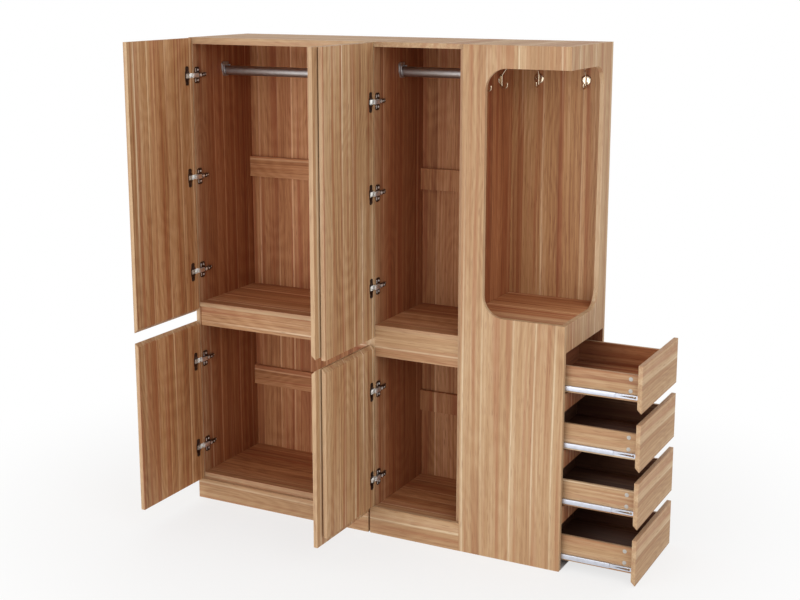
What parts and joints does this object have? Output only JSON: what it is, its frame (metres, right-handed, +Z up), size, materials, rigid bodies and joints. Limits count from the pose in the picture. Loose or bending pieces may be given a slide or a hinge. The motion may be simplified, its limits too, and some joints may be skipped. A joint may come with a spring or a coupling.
{
  "type": "wardrobe",
  "caption": "Free-standing wooden wardrobe with hinged upper and lower door leaves, hanging rails, an open corner niche with coat hooks and drawers that slide out of its side.",
  "frame": {"origin": "middle of the carcass footprint on the floor", "axes": "+Z up, +X towards the open corner and drawers, +Y towards the wall behind"},
  "size_m": [1.8645, 0.8145, 1.88],
  "materials": {
    "wood_boards": "streaky wood-print board",
    "wood_fronts": "streaky wood-print board",
    "rail_nickel": "satin nickel",
    "hook_brass": "pale champagne",
    "hinge_steel": "nickel plated",
    "slide_zinc": "white zinc"
  },
  "bodies": {
    "carcass": {"a_side_left": "wood_boards", "a_side_right": "wood_boards", "a_top": "wood_boards", "a_shelf": "wood_boards", "a_apron": "wood_boards", "a_bottom": "wood_boards", "a_plinth": "wood_boards", "a_back": "wood_boards", "b_side_left": "wood_boards", "b_side_right": "wood_boards", "b_top": "wood_boards", "b_shelf": "wood_boards", "b_apron": "wood_boards", "b_bottom": "wood_boards", "b_plinth": "wood_boards", "b_back": "wood_boards", "back_boards": "wood_boards", "c_front": "wood_boards", "c_side": "wood_boards", "c_wall": "wood_boards", "c_top": "wood_boards", "c_niche_floor": "wood_boards", "c_rear": "wood_boards", "hanging_rails": "rail_nickel", "rail_sockets": "rail_nickel", "coat_hooks": "hook_brass", "hinge_mounts": "hinge_steel", "slides_fixed": "slide_zinc"},
    "leaf_a_left_upper": {"door_a_left_upper": "wood_fronts", "cups_a_left_upper": "hinge_steel"},
    "leaf_a_left_lower": {"door_a_left_lower": "wood_fronts", "cups_a_left_lower": "hinge_steel"},
    "leaf_a_right_upper": {"door_a_right_upper": "wood_fronts", "cups_a_right_upper": "hinge_steel"},
    "leaf_a_right_lower": {"door_a_right_lower": "wood_fronts", "cups_a_right_lower": "hinge_steel"},
    "leaf_b_left_upper": {"door_b_left_upper": "wood_fronts", "cups_b_left_upper": "hinge_steel"},
    "leaf_b_left_lower": {"door_b_left_lower": "wood_fronts", "cups_b_left_lower": "hinge_steel"},
    "drawer_1": {"drawer_1_front": "wood_fronts", "drawer_1_walls": "wood_boards", "drawer_1_bottom": "wood_boards", "drawer_1_slide_inner": "slide_zinc"},
    "runner_1": {"drawer_1_slide_mid": "slide_zinc"},
    "drawer_2": {"drawer_2_front": "wood_fronts", "drawer_2_walls": "wood_boards", "drawer_2_bottom": "wood_boards", "drawer_2_slide_inner": "slide_zinc"},
    "runner_2": {"drawer_2_slide_mid": "slide_zinc"},
    "drawer_3": {"drawer_3_front": "wood_fronts", "drawer_3_walls": "wood_boards", "drawer_3_bottom": "wood_boards", "drawer_3_slide_inner": "slide_zinc"},
    "runner_3": {"drawer_3_slide_mid": "slide_zinc"},
    "drawer_4": {"drawer_4_front": "wood_fronts", "drawer_4_walls": "wood_boards", "drawer_4_bottom": "wood_boards", "drawer_4_slide_inner": "slide_zinc"},
    "runner_4": {"drawer_4_slide_mid": "slide_zinc"}
  },
  "joints": [
    {"name": "a_left_upper_hinge", "type": "hinge", "parent": "carcass", "child": "leaf_a_left_upper", "pos_m": [-0.7816, -0.2094, 1.334], "axis": [0, 0, -1], "range_deg": [-90, 10]},
    {"name": "a_left_lower_hinge", "type": "hinge", "parent": "carcass", "child": "leaf_a_left_lower", "pos_m": [-0.7816, -0.2094, 0.416], "axis": [0, 0, -1], "range_deg": [-90, 10]},
    {"name": "a_right_upper_hinge", "type": "hinge", "parent": "carcass", "child": "leaf_a_right_upper", "pos_m": [0.0016, -0.2094, 1.334], "axis": [0, 0, 1], "range_deg": [-90, 0]},
    {"name": "a_right_lower_hinge", "type": "hinge", "parent": "carcass", "child": "leaf_a_right_lower", "pos_m": [0.0016, -0.2094, 0.416], "axis": [0, 0, 1], "range_deg": [-90, 0]},
    {"name": "b_left_upper_hinge", "type": "hinge", "parent": "carcass", "child": "leaf_b_left_upper", "pos_m": [0.0184, -0.2094, 1.329], "axis": [0, 0, -1], "range_deg": [-90, 0]},
    {"name": "b_left_lower_hinge", "type": "hinge", "parent": "carcass", "child": "leaf_b_left_lower", "pos_m": [0.0184, -0.2094, 0.43], "axis": [0, 0, -1], "range_deg": [-90, 0]},
    {"name": "drawer_1_slide", "type": "slide", "parent": "carcass", "child": "drawer_1", "axis": [1, 0, 0], "range_m": [-0.267, 0.06]},
    {"name": "runner_1_slide", "type": "slide", "parent": "carcass", "child": "runner_1", "axis": [1, 0, 0], "range_m": [-0.18473, 0.0419]},
    {"name": "drawer_2_slide", "type": "slide", "parent": "carcass", "child": "drawer_2", "axis": [1, 0, 0], "range_m": [-0.267, 0.06]},
    {"name": "runner_2_slide", "type": "slide", "parent": "carcass", "child": "runner_2", "axis": [1, 0, 0], "range_m": [-0.18473, 0.0419]},
    {"name": "drawer_3_slide", "type": "slide", "parent": "carcass", "child": "drawer_3", "axis": [1, 0, 0], "range_m": [-0.267, 0.06]},
    {"name": "runner_3_slide", "type": "slide", "parent": "carcass", "child": "runner_3", "axis": [1, 0, 0], "range_m": [-0.18473, 0.0419]},
    {"name": "drawer_4_slide", "type": "slide", "parent": "carcass", "child": "drawer_4", "axis": [1, 0, 0], "range_m": [-0.267, 0.06]},
    {"name": "runner_4_slide", "type": "slide", "parent": "carcass", "child": "runner_4", "axis": [1, 0, 0], "range_m": [-0.18473, 0.0419]}
  ],
  "couplings": [
    {"joint": "runner_1_slide", "follows": "drawer_1_slide", "ratio": 0.69},
    {"joint": "runner_2_slide", "follows": "drawer_2_slide", "ratio": 0.69},
    {"joint": "runner_3_slide", "follows": "drawer_3_slide", "ratio": 0.69},
    {"joint": "runner_4_slide", "follows": "drawer_4_slide", "ratio": 0.69}
  ]
}
